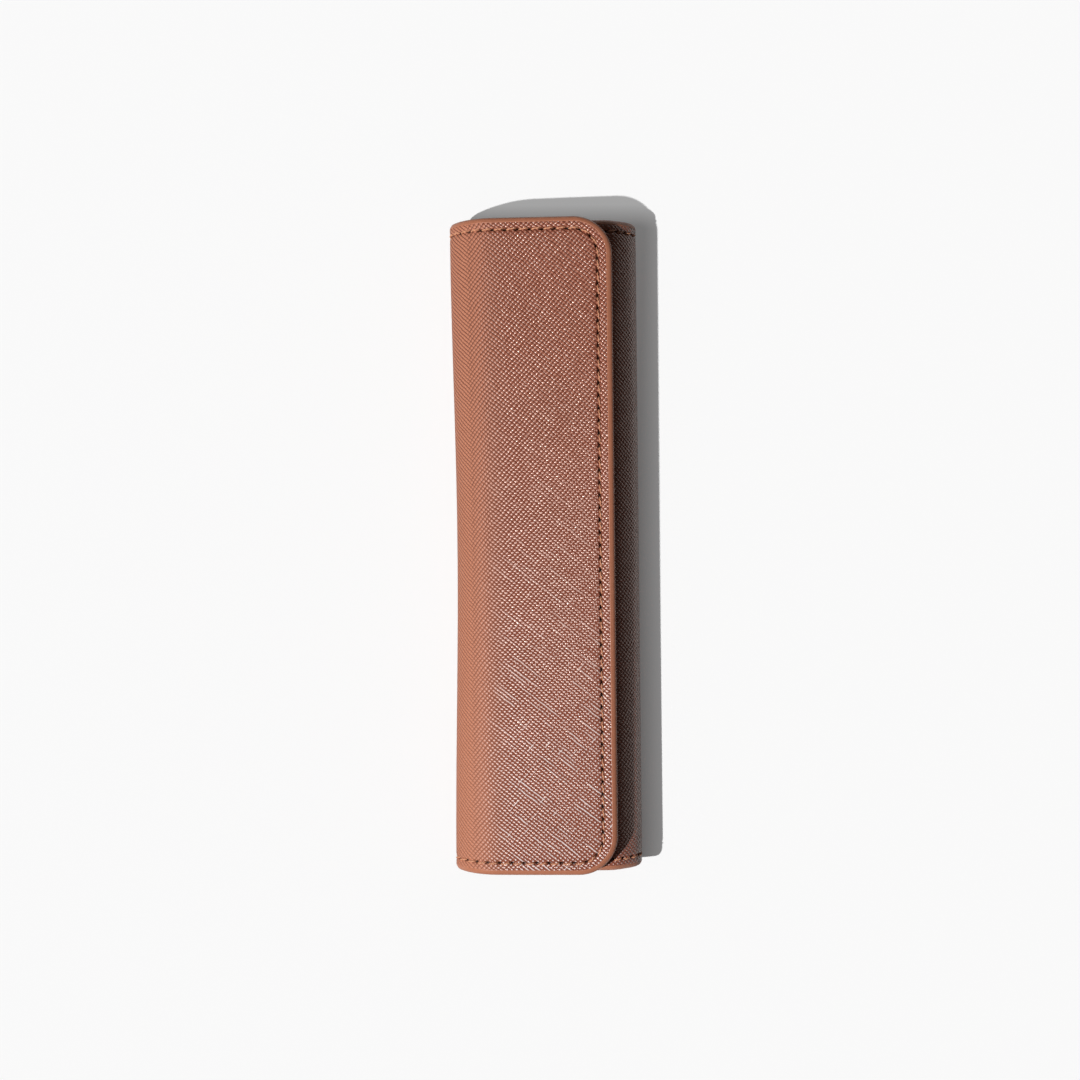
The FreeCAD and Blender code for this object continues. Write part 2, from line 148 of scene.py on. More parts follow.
# Section of the sheet
FRONT_EDGE_X = SLEEVE_WIDTH / 2 - FLAP_SETBACK - FLAP_OVERLAP
turn_ends = np.radians(np.cumsum(SPINE_TURNS))
lower_sine, middle_sine, upper_sine = np.sin(turn_ends)
spine_foot = SPINE_RADII[0] * lower_sine + SPINE_RADII[1] * (1 - lower_sine)
spine_head = SPINE_RADII[1] * (1 - middle_sine) + SPINE_RADII[2] * (middle_sine - upper_sine)
FRONT_REACH = FLAP_SETBACK + FLAP_OVERLAP - SIDE_UPPER_RADIUS
BACK_REACH = SLEEVE_WIDTH - SIDE_LOWER_RADIUS - spine_foot
FLAP_REACH = (SLEEVE_WIDTH - FLAP_SETBACK - spine_head) / math.cos(math.pi - turn_ends[2])


def arc(radius, turn):
    """Length and bend of a stretch that turns to the right."""
    return radius * math.radians(turn), -1 / radius


# Length and bend of each stretch of the outer face, bend being 0 where it is flat
STRETCHES = [
    (FRONT_REACH, 0.0),
    arc(SIDE_UPPER_RADIUS, 90),
    arc(SIDE_LOWER_RADIUS, 90),
    (BACK_REACH, 0.0),
    *[arc(radius, turn) for radius, turn in zip(SPINE_RADII, SPINE_TURNS)],
    (FLAP_REACH, 0.0),
]
stretch_ends = np.cumsum([length for length, bend in STRETCHES])
BACK_END, LOWER_END, MIDDLE_END, UPPER_END, SHEET_END = stretch_ends[3:]


def follow(s, start, stretches):
    """Points across the sleeve at distances s along a path that starts level, and its left normals."""
    x, z = (np.full_like(s, value) for value in start)
    angle = np.zeros_like(s)
    left = s
    for length, bend in stretches:
        part = np.clip(left, 0, length)
        left = left - part
        if bend == 0.0:
            x = x + part * np.cos(angle)
            z = z + part * np.sin(angle)
        else:
            turned = angle + part * bend
            x = x + (np.sin(turned) - np.sin(angle)) / bend
            z = z + (np.cos(angle) - np.cos(turned)) / bend
            angle = turned
    return x, z, -np.sin(angle), np.cos(angle)


def outer_face(s):
    return follow(s, (FRONT_EDGE_X, WALL_HEIGHT), STRETCHES)


def spine_share(s):
    """1 in the middle of the spine, falling to 0 at the back and the flap."""
    across = np.clip((s - BACK_END) / (UPPER_END - BACK_END), 0, 1)
    return np.sin(np.pi * across) ** 2


def stretched(s):
    """1 where the leather is stretched round the spine, 0 on the flat walls."""
    inside = np.minimum(s - BACK_END, UPPER_END - s)
    t = np.clip((inside - STRETCH_START) / (STRETCH_END - STRETCH_START), 0, 1)
    return t * t * (3 - 2 * t)


def crown(s):
    """How far the flap's outer face swells above the board under it."""
    start = MIDDLE_END + CROWN_START * (UPPER_END - MIDDLE_END)
    t = np.clip((s - start) / (SHEET_END - start), 0, 1)
    peak = CROWN_POWER / (CROWN_POWER + 1)
    return CROWN_RISE * (t / peak) ** CROWN_POWER * (1 - t) / (1 - peak)


def lift(s, y):
    """How far the flap's free edge stands off the front wall, more at one end than at the other."""
    along = np.clip((s - UPPER_END) / (SHEET_END - UPPER_END), 0, 1)
    return FLAP_LIFT * (1 + LIFT_TWIST * 2 * y / SLEEVE_LENGTH) * along**LIFT_POWER


def sink(s):
    """How far the soft side gives way under the flap's edge."""
    start = stretch_ends[0] - SINK_START
    across = np.clip((s - start) / (stretch_ends[1] - start), 0, 1)
    return SIDE_SINK * np.sin(np.pi * across) ** 2


def droop(s, y, out_z):
    """How far the front wall curls inward at its ends."""
    outer = np.clip((np.abs(y) - SLEEVE_LENGTH / 2 + MOUTH_REACH) / MOUTH_REACH, 0, 1)
    return np.where(s < stretch_ends[1], MOUTH_DROOP * outer**2 * np.clip(out_z, 0, 1), 0.0)


def place(s, y, depth):
    """Points of the sheet in metres."""
    s, y, depth = np.broadcast_arrays(np.asarray(s, float), y, depth)
    x, z, out_x, out_z = outer_face(s)
    swell = crown(s) * (1 - depth / SHEET_THICKNESS)
    level = depth - swell - lift(s, y) + sink(s) + droop(s, y, out_z)
    bow = (SPINE_BOW * np.cos(np.pi * y / SLEEVE_LENGTH) ** 2 - SPINE_BULGE) * spine_share(s)
    return np.stack([x - level * out_x + bow, y, z - level * out_z], axis=-1) * MM


def outward(s):
    """Outward normals of the sheet."""
    _, _, out_x, out_z = outer_face(np.asarray(s, float))
    return np.stack([out_x, np.zeros_like(out_x), out_z], axis=-1)


class Zone:
    """Stretch of the sheet that bends at one fold.

    It runs from a cut to a free edge, or from a cut to another cut where corner is None.
    Its border is a path along one end, round the free edge and back along the other end.
    The fold is the number of the stretch that bends.
    """

    def __init__(self, name, bodies, cut, far, corner, fold, seam_shift=0.0):
        self.name = name
        self.bodies = bodies
        self.cut = cut
        self.far = far
        self.corner = corner
        self.fold = fold
        self.seam_shift = seam_shift
        self.span = abs(cut - far)
        self.way = math.copysign(1, cut - far)

    def end_shares(self, per_stitch):
        """Shares of the way along an end, with a narrow step at each cut to keep its shading level."""
        count = per_stitch * round((self.span - (self.corner or 0.0)) / STITCH_PITCH)
        shares = [0, CUT_STEP / count, *(np.arange(1, count) / count)]
        if self.corner is None:
            shares.append(1 - CUT_STEP / count)
        return np.array([*shares, 1])

    def front_steps(self, per_stitch):
        return per_stitch * round(2 * (SLEEVE_LENGTH / 2 - self.corner) / STITCH_PITCH)

    def border(self, inset, per_stitch):
        """s and y along the border at some inset, and the outward direction there."""
        half = SLEEVE_LENGTH / 2 - inset
        radius = 0.0 if self.corner is None else max(self.corner - inset, LEAST_CORNER)
        start = 0.0 if self.corner is None else inset + radius
        end_q = self.span + self.end_shares(per_stitch) * (start - self.span)
        end_y = np.full_like(end_q, -half)
        front_q, front_y, angle = np.empty((3, 0))
        if self.corner is not None:
            turns = np.linspace(0, np.pi / 2, CORNER_STEPS + 1)[1:]
            arc_q = start - radius * np.sin(turns)
            arc_y = -half + radius - radius * np.cos(turns)
            run_y = np.linspace(radius - half, half - radius, self.front_steps(per_stitch) + 1)[1:-1]
            front_q = np.concatenate([arc_q, np.full_like(run_y, inset), arc_q[::-1]])
            front_y = np.concatenate([arc_y, run_y, -arc_y[::-1]])
            angle = np.concatenate([turns, np.full_like(run_y, np.pi / 2), np.pi - turns[::-1]])
        q = np.concatenate([end_q, front_q, end_q[::-1]])
        y = np.concatenate([end_y, front_y, -end_y[::-1]])
        angle = np.concatenate([np.zeros_like(end_q), angle, np.full_like(end_q, np.pi)])
        moved = np.clip((inset - EDGE_REACH) / (SEAM_MARGIN - EDGE_REACH), 0, 1)
        q = q + self.seam_shift * moved * np.sin(angle)
        return self.far + self.way * q, y, -np.sin(angle) * self.way, -np.cos(angle)

    def runs(self, per_stitch):
        """Unbroken parts of the border."""
        ends = len(self.end_shares(per_stitch))
        if self.corner is None:
            return [slice(0, ends), slice(ends, 2 * ends)]
        return [slice(0, 2 * (ends + CORNER_STEPS) + self.front_steps(per_stitch) - 1)]

    def front_cuts(self, per_stitch, every):
        """Places in the front of the border where rows of the inner grid start."""
        last = CORNER_STEPS + self.front_steps(per_stitch) - 1
        return [*range(CORNER_STEPS - 1, last, every), last]


ZONES = [
    Zone("sleeve", ("sleeve", "lower_spine"), LOWER_END, 0.0, FRONT_CORNER, fold=4),
    Zone("spine", ("lower_spine", "upper_spine"), MIDDLE_END, LOWER_END, None, fold=5),
    Zone("flap", ("upper_spine", "flap"), MIDDLE_END, SHEET_END, FLAP_CORNER, fold=6,
         seam_shift=FRONT_SEAM_SHIFT),
]


def bend_with(piece, zone, depth):
    """Finds the ends of the zone's fold at some depth, and bakes the piece's placement into its points.
    """
    margin = FOLD_MARGIN / abs(STRETCHES[zone.fold][1])
    ends = np.array([stretch_ends[zone.fold - 1] + margin, stretch_ends[zone.fold] - margin])
    start, end = place(ends, 0.0, depth)
    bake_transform(piece)


# Meshes


def add_object(name, data):
    """New object in the scene."""
    made = bpy.data.objects.new(name, data)
    bpy.context.scene.collection.objects.link(made)
    return made


def make_piece(name, points, faces, material, sheet_map=None, values=None):
    """Object with smooth faces that look outward, a map of sheet places and values at its points."""
    mesh = bpy.data.meshes.new(name)
    mesh.from_pydata(points.tolist(), [], faces)
    if sheet_map is not None:
        layer = mesh.uv_layers.new(name="sheet")
        corners = np.empty(len(mesh.loops), np.int32)
        mesh.loops.foreach_get("vertex_index", corners)
        layer.data.foreach_set("uv", sheet_map[corners].astype(np.float32).ravel())
    for label, numbers in (values or {}).items():
        layer = mesh.attributes.new(label, "FLOAT", "POINT")
        layer.data.foreach_set("value", np.asarray(numbers, np.float32))
    shaped = bmesh.new()
    shaped.from_mesh(mesh)
    bmesh.ops.recalc_face_normals(shaped, faces=shaped.faces)
    shaped.to_mesh(mesh)
    shaped.free()
    mesh.shade_smooth()
    mesh.set_sharp_from_angle(angle=SMOOTH_LIMIT)
    mesh.materials.append(material)
    piece = add_object(name, mesh)
    return piece


def tube_faces(rows, around, first=0):
    """Faces of a closed tube whose points go round, row after row."""
    index = first + np.arange(rows * around).reshape(rows, around)
    wrapped = np.hstack([index, index[:, :1]])
    corners = [wrapped[:-1, :-1], wrapped[:-1, 1:], wrapped[1:, 1:], wrapped[1:, :-1]]
    quads = np.stack(corners, axis=-1).reshape(-1, 4)
    return [*quads.tolist(), index[0].tolist(), index[-1, ::-1].tolist()]


class Shell:
    """Points and faces of one closed layer of a zone, gathered as they are made."""

    def __init__(self, zone, per_stitch):
        self.zone = zone
        self.per_stitch = per_stitch
        self.columns = len(zone.end_shares(per_stitch))
        self.places = []
        self.faces = []
        self.size = 0

    def add(self, s, y, depth, pit=0.0):
        """Adds points with their place on the sheet and their share of a needle hole."""
        self.places.append(np.stack(np.broadcast_arrays(s, y, depth, pit)))
        first = self.size
        self.size += len(s)
        return np.arange(first, self.size)

    def join(self, outer, inner):
        """Quads between two borders."""
        for run in self.zone.runs(self.per_stitch):
            for i in range(run.start, run.stop - 1):
                self.faces.append((outer[i], outer[i + 1], inner[i + 1], inner[i]))

    def fill(self, border, every, depth):
        """Rows of quads across the sheet inside a border. Returns the points along its two ends in s."""
        s, y, _, _ = np.hstack(self.places)
        near, far = border[:self.columns], border[-self.columns:][::-1]
        front = border[self.columns:-self.columns]
        if self.zone.corner is None:
            count = round(SLEEVE_LENGTH / STITCH_PITCH * self.per_stitch / every)
            levels = np.linspace(y[near[0]], y[far[0]], count + 1)[1:-1]
        else:
            cuts = self.zone.front_cuts(self.per_stitch, every)
            levels = y[front[cuts]]
        rows = [near, *[self.add(s[near], level, depth) for level in levels], far]
        for low, high in zip(rows, rows[1:]):
            for i in range(self.columns - 1):
                self.faces.append((low[i], low[i + 1], high[i + 1], high[i]))
        if self.zone.corner is not None:
            bounds = [0, *cuts, len(front) - 1]
            for low, high, start, stop in zip(rows, rows[1:], bounds, bounds[1:]):
                self.faces.append((low[-1], *front[start:stop + 1], high[-1]))
        return [row[0] for row in rows], [row[-1] for row in rows]

    def cap(self, upper, lower):
        """Closes a cut with short faces between the points of its two faces, which meet at both ends."""
        _, y, _, _ = np.hstack(self.places)
        nearest = [int(np.argmin(np.abs(y[upper] - y[point]))) for point in lower[1:-1]]
        splits = [0, *nearest, len(upper) - 1]
        for start, stop, low, high in zip(splits, splits[1:], lower, lower[1:]):
            ring = [*upper[start:stop + 1], high, low]
            self.faces.append(tuple(dict.fromkeys(ring)))

    def piece(self, name, material, slot):
        s, y, depth, pit = np.hstack(self.places)
        values = {"stretch": stretched(s), "pit": pit}
        sheet_map = np.stack([s, y], axis=-1)
        return make_piece(name, place(s, y, depth), self.faces, material, sheet_map, values)


def edge_profile(turns, film):
    """Inset and depth round the edge, from the outer face to the lining, under some paint."""
    cover = film * np.sin(turns)
    inset = EDGE_REACH - (EDGE_REACH - cover) * np.sin(turns)
    return inset, EDGE_RADIUS - (EDGE_RADIUS - cover) * np.cos(turns)


def seam_places(zone, per_stitch):
    """For each run of the border, the distances along it of its points and of the needle holes."""
    s, y, _, _ = zone.border(SEAM_MARGIN, per_stitch)
    places = []
    for run in zone.runs(per_stitch):
        along = np.concatenate([[0], np.cumsum(np.hypot(np.diff(s[run]), np.diff(y[run])))])
        count = round(along[-1] / STITCH_PITCH)
        places.append((run, along, np.arange(count + 1) * along[-1] / count))
    return places


def pit_share(along, holes, inset):
    """1 in the middle of a needle hole, falling to 0 around it."""
    nearest = np.min(np.abs(along[:, None] - holes), axis=1)
    across = (inset - SEAM_MARGIN - PIT_SHIFT) / PIT_WIDTH
    return np.exp(-((nearest / PIT_LENGTH) ** PIT_POWER) - across**PIT_POWER)


def valley(inset):
    """Depth of the groove that the thread pulls into the sheet."""
    return VALLEY_DEPTH * math.exp(-(((inset - SEAM_MARGIN) / VALLEY_WIDTH) ** 2))


def build_layer(zone, per_stitch, turns, back_depth, face_depth, every):
    """Closed layer: its seen face with a rounded edge, and a plain hidden face."""
    shell = Shell(zone, per_stitch)
    inward = math.copysign(1, back_depth - face_depth)
    rings = []
    for inset, depth in zip(*edge_profile(turns, FILM_THICKNESS)):
        s, y, _, _ = zone.border(inset, per_stitch)
        rings.append(shell.add(s, y, depth))
    for inset in FACE_INSETS:
        s, y, _, _ = zone.border(inset, per_stitch)
        pit = np.zeros_like(s)
        for run, along, holes in seam_places(zone, per_stitch):
            pit[run] = pit_share(along, holes, inset)
        sunk = valley(inset) + PIT_DEPTH * pit
        rings.append(shell.add(s, y, face_depth + inward * sunk, pit))
    for outer, inner in zip(rings, rings[1:]):
        shell.join(outer, inner)
    seen_ends = shell.fill(rings[-1], per_stitch, face_depth)
    hidden_ends = shell.fill(rings[0], every, back_depth)
    corners = [(0, -1), (shell.columns - 1, -shell.columns)]
    if zone.corner is not None:
        corners = corners[:1]
    for (near, far), seen, hidden in zip(corners, seen_ends, hidden_ends):
        lead_in = [ring[near] for ring in rings[:-1]]
        lead_out = [ring[far] for ring in rings[-2::-1]]
        shell.cap(lead_in + seen + lead_out, hidden)
    return shell


def build_paint(zone, name, material):
    """Film of paint round the cut edges of the sheet, with a raised lip along each face."""
    turns = np.linspace(0, np.pi, PAINT_EDGE_POINTS)
    outer_inset, outer_depth = edge_profile(turns[1:-1], 0.0)
    inner_inset, inner_depth = edge_profile(turns[-2:0:-1], FILM_THICKNESS)
    lip = list(zip(LIP_INSETS, LIP_DEPTHS))
    profile = [*lip, *zip(outer_inset, outer_depth)]
    profile += [(inset, SHEET_THICKNESS - depth) for inset, depth in lip[::-1]]
    profile += zip(inner_inset, inner_depth)
    lines = []
    for inset, depth in profile:
        s, y, _, _ = zone.border(inset, PAINT_STEPS)
        lines.append((s, y, np.full_like(s, depth)))
    s, y, depth = np.stack(lines, axis=-1)
    faces = []
    for run in zone.runs(PAINT_STEPS):
        faces += tube_faces(run.stop - run.start, len(profile), run.start * len(profile))
    sheet_map = np.stack([s.ravel(), y.ravel()], axis=-1)
    points = place(s.ravel(), y.ravel(), depth.ravel())
    return make_piece(name, points, faces, material, sheet_map)


# Thread


def build_thread(name, lines, normals, material):
    """Twisted plies along each of many short lines, which are arrays of points in metres."""
    count, steps, _ = lines.shape
    along = np.gradient(lines, axis=1)
    along /= np.linalg.norm(along, axis=-1, keepdims=True)
    side = np.cross(along, normals)
    side /= np.linalg.norm(side, axis=-1, keepdims=True)
    up = np.cross(side, along)
    twist = np.linspace(0, 2 * np.pi * THREAD_TURNS, steps)[None, :, None]
    round_ply = np.linspace(0, 2 * np.pi, PLY_SIDES, endpoint=False)[:, None]
    skin = np.cos(round_ply) * side[:, :, None] + np.sin(round_ply) * up[:, :, None]
    plies = []
    for phase in np.arange(PLY_COUNT) * 2 * np.pi / PLY_COUNT:
        centre = lines + MM * PLY_OFFSET * (np.cos(twist + phase) * side + np.sin(twist + phase) * up)
        plies.append(centre[:, :, None] + MM * PLY_RADIUS * skin)
    points = np.concatenate(plies).reshape(-1, 3)
    per_ply = steps * PLY_SIDES
    faces = []
    for number in range(PLY_COUNT * count):
        faces += tube_faces(steps, PLY_SIDES, number * per_ply)
    return make_piece(name, points, faces, material)


def stitch_places(holes):
    """Shares of the way along a stitch, and the places of those shares between each two holes."""
    share = np.linspace(0, 1, THREAD_POINTS)
    start, end = holes[:-1, None] + HOLE_CLEAR, holes[1:, None] - HOLE_CLEAR
    return share, start + share * (end - start)


def stitch_depth(share):
    """Depth of a stitch, level along its middle, which dives into its needle holes."""
    return THREAD_DEPTH + (HOLE_DEPTH - THREAD_DEPTH) * np.abs(2 * share - 1) ** DIP_POWER


def seam_lines(zone, under):
    """Lines of the stitches on one face of a zone, and the outward normals along them."""
    border = zone.border(SEAM_MARGIN, LEATHER_STEPS)
    lines, normals = [], []
    for run, along, holes in seam_places(zone, LEATHER_STEPS):
        share, where = stitch_places(holes)
        s, y, out_s, out_y = (np.interp(where, along, part[run]) for part in border)
        _, _, _, out_z = outer_face(s)
        lean = -zone.way if under else zone.way
        shift = STITCH_SHIFT + lean * STITCH_SLANT * (share - 0.5)
        depth = stitch_depth(share) + THREAD_REST * np.clip(-out_z, 0, 1) ** 2
        if under:
            depth = SHEET_THICKNESS - stitch_depth(share)
        lines.append(place(s + shift * out_s, y + shift * out_y, depth))
        normals.append(outward(s) * (-1 if under else 1))
    return np.concatenate(lines), np.concatenate(normals)


# Pen loop


def build_loop(name, material):
    """Ribbed elastic that lies flat as a tab, curls up round the bore and lies flat again."""
    radius = (LOOP_BORE + ELASTIC_THICKNESS) / 2
    neck = 2 * math.sqrt(radius * NECK_RADIUS)
    turn = math.pi / 2 + math.atan2(radius - NECK_RADIUS, neck)
    tab = (TAB_WIDTH / 2 - neck, 0.0)
    curl = (NECK_RADIUS * turn, 1 / NECK_RADIUS)
    stretches = [tab, curl, (2 * turn * radius, -1 / radius), curl, tab]
    length = sum(stretch[0] for stretch in stretches)
    s = np.linspace(0, length, LOOP_STEPS)
    start = (-TAB_WIDTH / 2, SHEET_THICKNESS + ELASTIC_THICKNESS / 2)
    x, z, out_x, out_z = (part[:, None] for part in follow(s, start, stretches))
    ribs = round(LOOP_WIDTH / RIB_PITCH)
    y = np.linspace(-LOOP_WIDTH / 2, LOOP_WIDTH / 2, ribs * RIB_STEPS + 1)
    groove = 0.5 + 0.5 * np.cos(2 * np.pi * (y / LOOP_WIDTH + 0.5) * ribs)
    level = ELASTIC_THICKNESS / 2 - RIB_DEPTH * groove
    y = np.concatenate([y, y[::-1]])
    level = np.concatenate([level, -level])
    points = np.stack(np.broadcast_arrays(x + level * out_x, y, z + level * out_z), axis=-1) * MM
    sheet_map = np.stack(np.broadcast_arrays(s[:, None], y), axis=-1)
    faces = tube_faces(len(s), len(y))
    return make_piece(name, points.reshape(-1, 3), faces, material, sheet_map.reshape(-1, 2))


def tack_lines():
    """Lines of the stitches that hold the loop's tabs, and the normals along them."""
    end = LOOP_WIDTH / 2 - TACK_MARGIN
    holes = np.linspace(-end, end, round(2 * end / STITCH_PITCH) + 1)
    share, y = stitch_places(holes)
    z = SHEET_THICKNESS + ELASTIC_THICKNESS - stitch_depth(share)
    lines = []
    for x in (TACK_MARGIN - TAB_WIDTH / 2, TAB_WIDTH / 2 - TACK_MARGIN):
        lines.append(np.stack(np.broadcast_arrays(x, y, z), axis=-1) * MM)
    lines = np.concatenate(lines)
    return lines, np.broadcast_to((0.0, 0.0, 1.0), lines.shape)


# Materials. Colours are linear red, green and blue with alpha, and scales are in cells per mm.
NOISE_SPREAD = (0.3, 0.7)
# Painted shade inside the needle holes
NEEDLE_HOLE_SHADE = (0.015, 0.006, 0.004, 1)


def new_material(name):
    material = bpy.data.materials.new(name)
    material.use_nodes = True
    return material, material.node_tree, material.node_tree.nodes["Principled BSDF"]


def connect(tree, socket, value):
    """Links an output to a socket, or sets the socket to a number or colour."""
    if isinstance(value, bpy.types.NodeSocket):
        tree.links.new(value, socket)
    else:
        socket.default_value = value


def dress(tree, node, sockets):
    """Links or sets inputs of a node."""
    for label, value in sockets.items():
        connect(tree, node.inputs[label], value)


def put(tree, kind, sockets=None, **settings):
    """Adds a node, and links or sets its inputs."""
    node = tree.nodes.new(kind)
    for label, value in settings.items():
        setattr(node, label, value)
    dress(tree, node, sockets or {})
    return node


def maths(tree, operation, first, second=0.0, third=0.0):
    node = put(tree, "ShaderNodeMath", {0: first, 1: second, 2: third}, operation=operation)
    return node.outputs[0]


def times(tree, first, second):
    return maths(tree, "MULTIPLY", first, second)


def weigh(tree, *terms):
    """Sum of values times weights."""
    total = times(tree, *terms[0])
    for value, weight in terms[1:]:
        total = maths(tree, "MULTIPLY_ADD", value, weight, total)
    return total


def vector_maths(tree, operation, first, second, output=0):
    node = put(tree, "ShaderNodeVectorMath", {0: first, 1: second}, operation=operation)
    return node.outputs[output]


def dot(tree, first, second):
    return vector_maths(tree, "DOT_PRODUCT", first, second, "Value")


def vector(tree, x, y, z):
    return put(tree, "ShaderNodeCombineXYZ", {"X": x, "Y": y, "Z": z}).outputs[0]


def sheet_places(tree):
    """Places on the sheet in mm: s and y."""
    return put(tree, "ShaderNodeUVMap", uv_map="sheet").outputs["UV"]


def object_places(tree):
    """Places in the piece's own space, in mm."""
    coordinates = put(tree, "ShaderNodeTexCoord").outputs["Object"]
    return vector_maths(tree, "MULTIPLY", coordinates, (1 / MM, 1 / MM, 1 / MM))


def attribute(tree, name):
    return put(tree, "ShaderNodeAttribute", attribute_name=name).outputs["Fac"]


def noise(tree, places, scale, detail=2.0, roughness=0.5):
    sockets = {"Vector": places, "Scale": scale, "Detail": detail, "Roughness": roughness}
    return put(tree, "ShaderNodeTexNoise", sockets).outputs["Fac"]


def remap(tree, value, low, high, new_low, new_high, smooth=False):
    kind = "SMOOTHSTEP" if smooth else "LINEAR"
    sockets = {"Value": value, "From Min": low, "From Max": high, "To Min": new_low, "To Max": new_high}
    return put(tree, "ShaderNodeMapRange", sockets, interpolation_type=kind).outputs["Result"]


def mix(tree, share, first, second):
    """Colour between two colours."""
    node = put(tree, "ShaderNodeMix", data_type="RGBA")
    colours = [socket for socket in node.inputs if socket.type == "RGBA"]
    connect(tree, node.inputs["Factor"], share)
    connect(tree, colours[0], first)
    connect(tree, colours[1], second)
    return next(socket for socket in node.outputs if socket.type == "RGBA")


def bump(tree, height, distance):
    """Normals of a relief whose height goes from 0 to 1 over a distance in mm."""
    return put(tree, "ShaderNodeBump", {"Height": height, "Distance": distance * MM}).outputs["Normal"]


# Leather. Each set of ridges has an angle, a period and a seed.
FALLING_RIDGES = (math.radians(-38), 0.82, 0.0)
RISING_RIDGES = (math.radians(49), 0.90, 40.0)
WAVER_SCALE = 0.3
WAVER_SHARE = 0.7
CREST_RISE = (0.22, 0.46)
GRAIN_HEIGHT = 0.17
GROOVE_START = 0.45
GROOVE_SHARES = (0.6, 0.4)
UNEVEN_SCALE = 1.1
UNEVEN_DEPTH = (0.8, 1.2)
PORE_SCALE = 6.0
PORE_HEIGHT = 0.02
CLOUD_SCALE = 0.08

# Band at the top of the spine where the painted shade of one set of grooves gives way to the other's, as
# the lamp's light does across the bend. Shares are of its width.
HERRINGBONE = 7.0
FALLING_FADED = 0.4
RISING_GROWN = 0.2
RISING_ENDING = 0.85
RISING_ON_FLAP = 0.55
FAINT_GROOVES = 0.25

# Painted highlights stand in for the lamp's glints on the grain of the flap, stronger towards the lower
# end of the pen.
# Streaks have a width and a length in mm, and the span of noise over which they appear.
PAINTED_LIGHT_START = 50.0
PAINTED_LIGHT_END = -60.0
FLAP_FADE = 5.0
# Strengths of the painted highlights along lines and on dots, from one end to the other.
LINE_GLINT = (0.1, 1.3)
DOT_GLINT = (0.7, 1.5)
# Strength of the painted shade in the grooves, from one end to the other.
GROOVE_SHADE_GRADE = (1.0, 0.7)
FALLING_STREAKS = (0.7, 11.0, 0.57, 0.64)
RISING_STREAKS = (0.7, 4.0, 0.64, 0.71)
LINE_STRENGTH = 0.63
DOT_STRENGTH = 0.95
DOTS_ELSEWHERE = 0.45
CROSSED_GROOVES = 0.4

LEATHER_DARK = (0.36, 0.112, 0.068, 1)
LEATHER_LIGHT = (0.40, 0.127, 0.079, 1)
SPINE_TAN = (0.57, 0.220, 0.128, 1)
# Painted shade for the grooves, where the relief would be shaded.
GROOVE_SHADE = (0.14, 0.036, 0.020, 1)
# The two colours of the painted highlights that stand in for glints on the crests and dome tops.
GLINT_TAN = (0.84, 0.47, 0.33, 1)
GLINT_WHITE = (0.95, 0.87, 0.85, 1)
FLAT_ROUGHNESS = 0.23
SPINE_ROUGHNESS = 0.6
LEATHER_SHINE = 0.56
LEATHER_SHINE_COLOUR = (1.0, 0.84, 0.76, 1)


class Ridges:
    """Rows of pressed ridges that waver a little."""

    def __init__(self, tree, places, angle, period, seed):
        self.tree = tree
        self.seed = seed
        self.across = dot(tree, places, (-math.sin(angle), math.cos(angle), 0))
        self.along = dot(tree, places, (math.cos(angle), math.sin(angle), 0))
        shifted = vector_maths(tree, "ADD", places, (seed, seed, 0))
        waver = remap(tree, noise(tree, shifted, WAVER_SCALE), 0, 1, -0.5, 0.5)
        phase = weigh(tree, (self.across, 1 / period), (waver, WAVER_SHARE))
        self.rise = maths(tree, "PINGPONG", phase, 0.5)

    def hollow(self):
        """0 on the crests and 1 in the grooves."""
        return remap(self.tree, self.rise, 0, 0.5, 1, 0)

    def crests(self):
        """1 along the crests and 0 down their sides."""
        return remap(self.tree, self.rise, *CREST_RISE, 0, 1, smooth=True)

    def streaks(self, width, length, low, high):
        """Long streaks along the ridges, from 0 to 1."""
        x = maths(self.tree, "DIVIDE", self.across, width)
        y = maths(self.tree, "DIVIDE", self.along, length)
        cloud = noise(self.tree, vector(self.tree, x, y, self.seed), 1.0)
        return remap(self.tree, cloud, low, high, 0, 1, smooth=True)


def herringbone(tree, s):
    """How much painted shade the falling and the rising grooves show, one set after the other across the
    bend.
    """
    inside = remap(tree, s, UPPER_END, UPPER_END - HERRINGBONE, 0, 1)
    falling = remap(tree, maths(tree, "PINGPONG", inside, 0.5), 0, FALLING_FADED, 1, FAINT_GROOVES)
    growing = remap(tree, inside, 0, RISING_GROWN, RISING_ON_FLAP, 1)
    ending = remap(tree, inside, RISING_ENDING, 1, 1, FAINT_GROOVES)
    return falling, times(tree, growing, ending)


def painted_glints(tree, s, y, stretch):
    """How much painted highlight, standing in for the lamp's glints, lies along lines and on the dome
    tops.
    """
    on_flap = remap(tree, s, UPPER_END - FLAP_FADE, UPPER_END + FLAP_FADE, 0, 1, smooth=True)
    on_flat = remap(tree, stretch, 0, 1, 1, 0)
    dots_shown = weigh(tree, (on_flap, 1 - DOTS_ELSEWHERE), (on_flat, DOTS_ELSEWHERE))
    on_lines = times(tree, remap(tree, y, PAINTED_LIGHT_START, PAINTED_LIGHT_END, *LINE_GLINT), on_flap)
    on_dots = times(tree, remap(tree, y, PAINTED_LIGHT_START, PAINTED_LIGHT_END, *DOT_GLINT), dots_shown)
    return on_lines, on_dots


